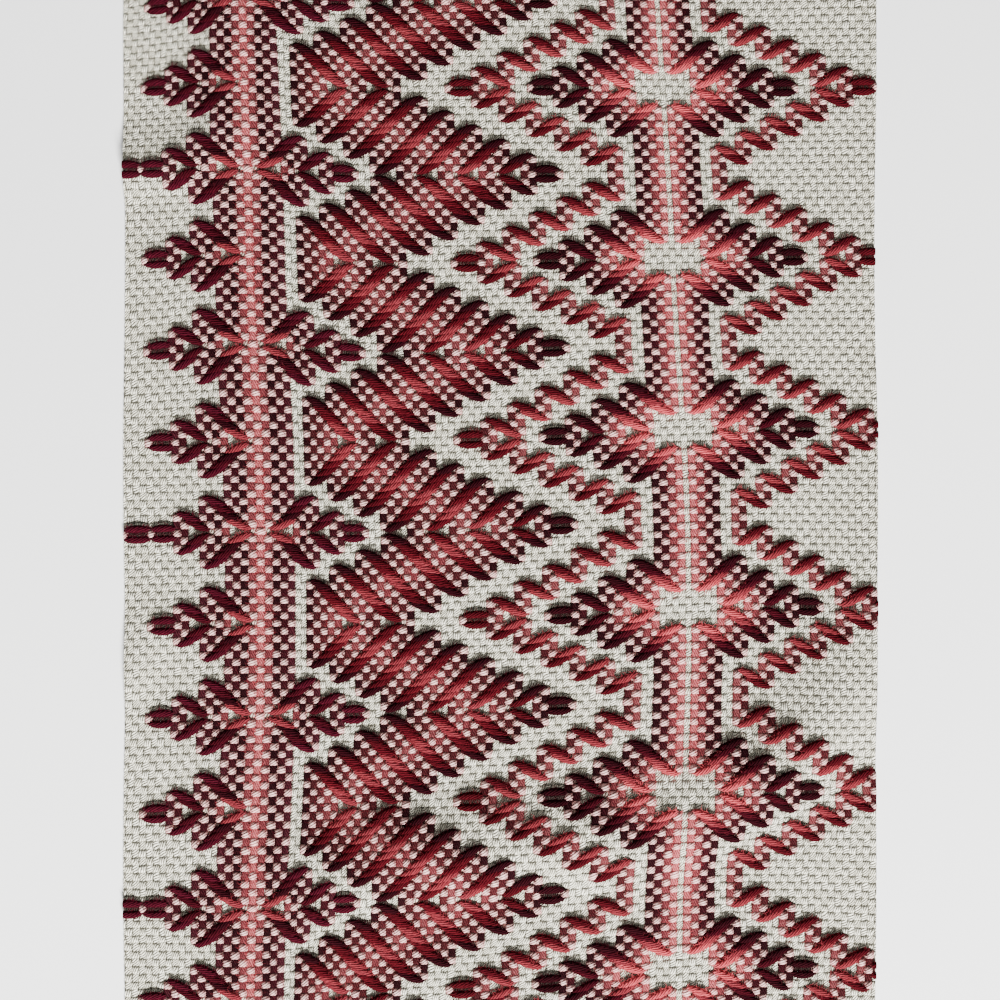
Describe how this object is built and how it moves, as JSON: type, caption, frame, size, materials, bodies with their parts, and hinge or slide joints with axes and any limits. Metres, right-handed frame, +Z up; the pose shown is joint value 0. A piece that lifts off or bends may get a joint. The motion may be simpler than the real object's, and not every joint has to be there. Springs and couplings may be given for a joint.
{
  "type": "embroidered basket-weave cloth",
  "caption": "Cut length of cream basket-weave cotton cloth darned with red wool in leaf, chevron and lattice bands, lying in low soft folds.",
  "frame": {"origin": "middle of the underside, on the surface the cloth lies on", "axes": "+Z up off the surface, +Y along the length towards the top of the pattern, +X across it from the narrow spine to the lattice"},
  "size_m": [0.3684, 0.495, 0.0101],
  "materials": {
    "cotton_cloth": "matt basket-weave cotton",
    "wool_yarn": "soft twisted wool in burgundy, red and coral"
  },
  "bodies": {
    "root": {"ground_cloth": "cotton_cloth"}
  },
  "joints": []
}
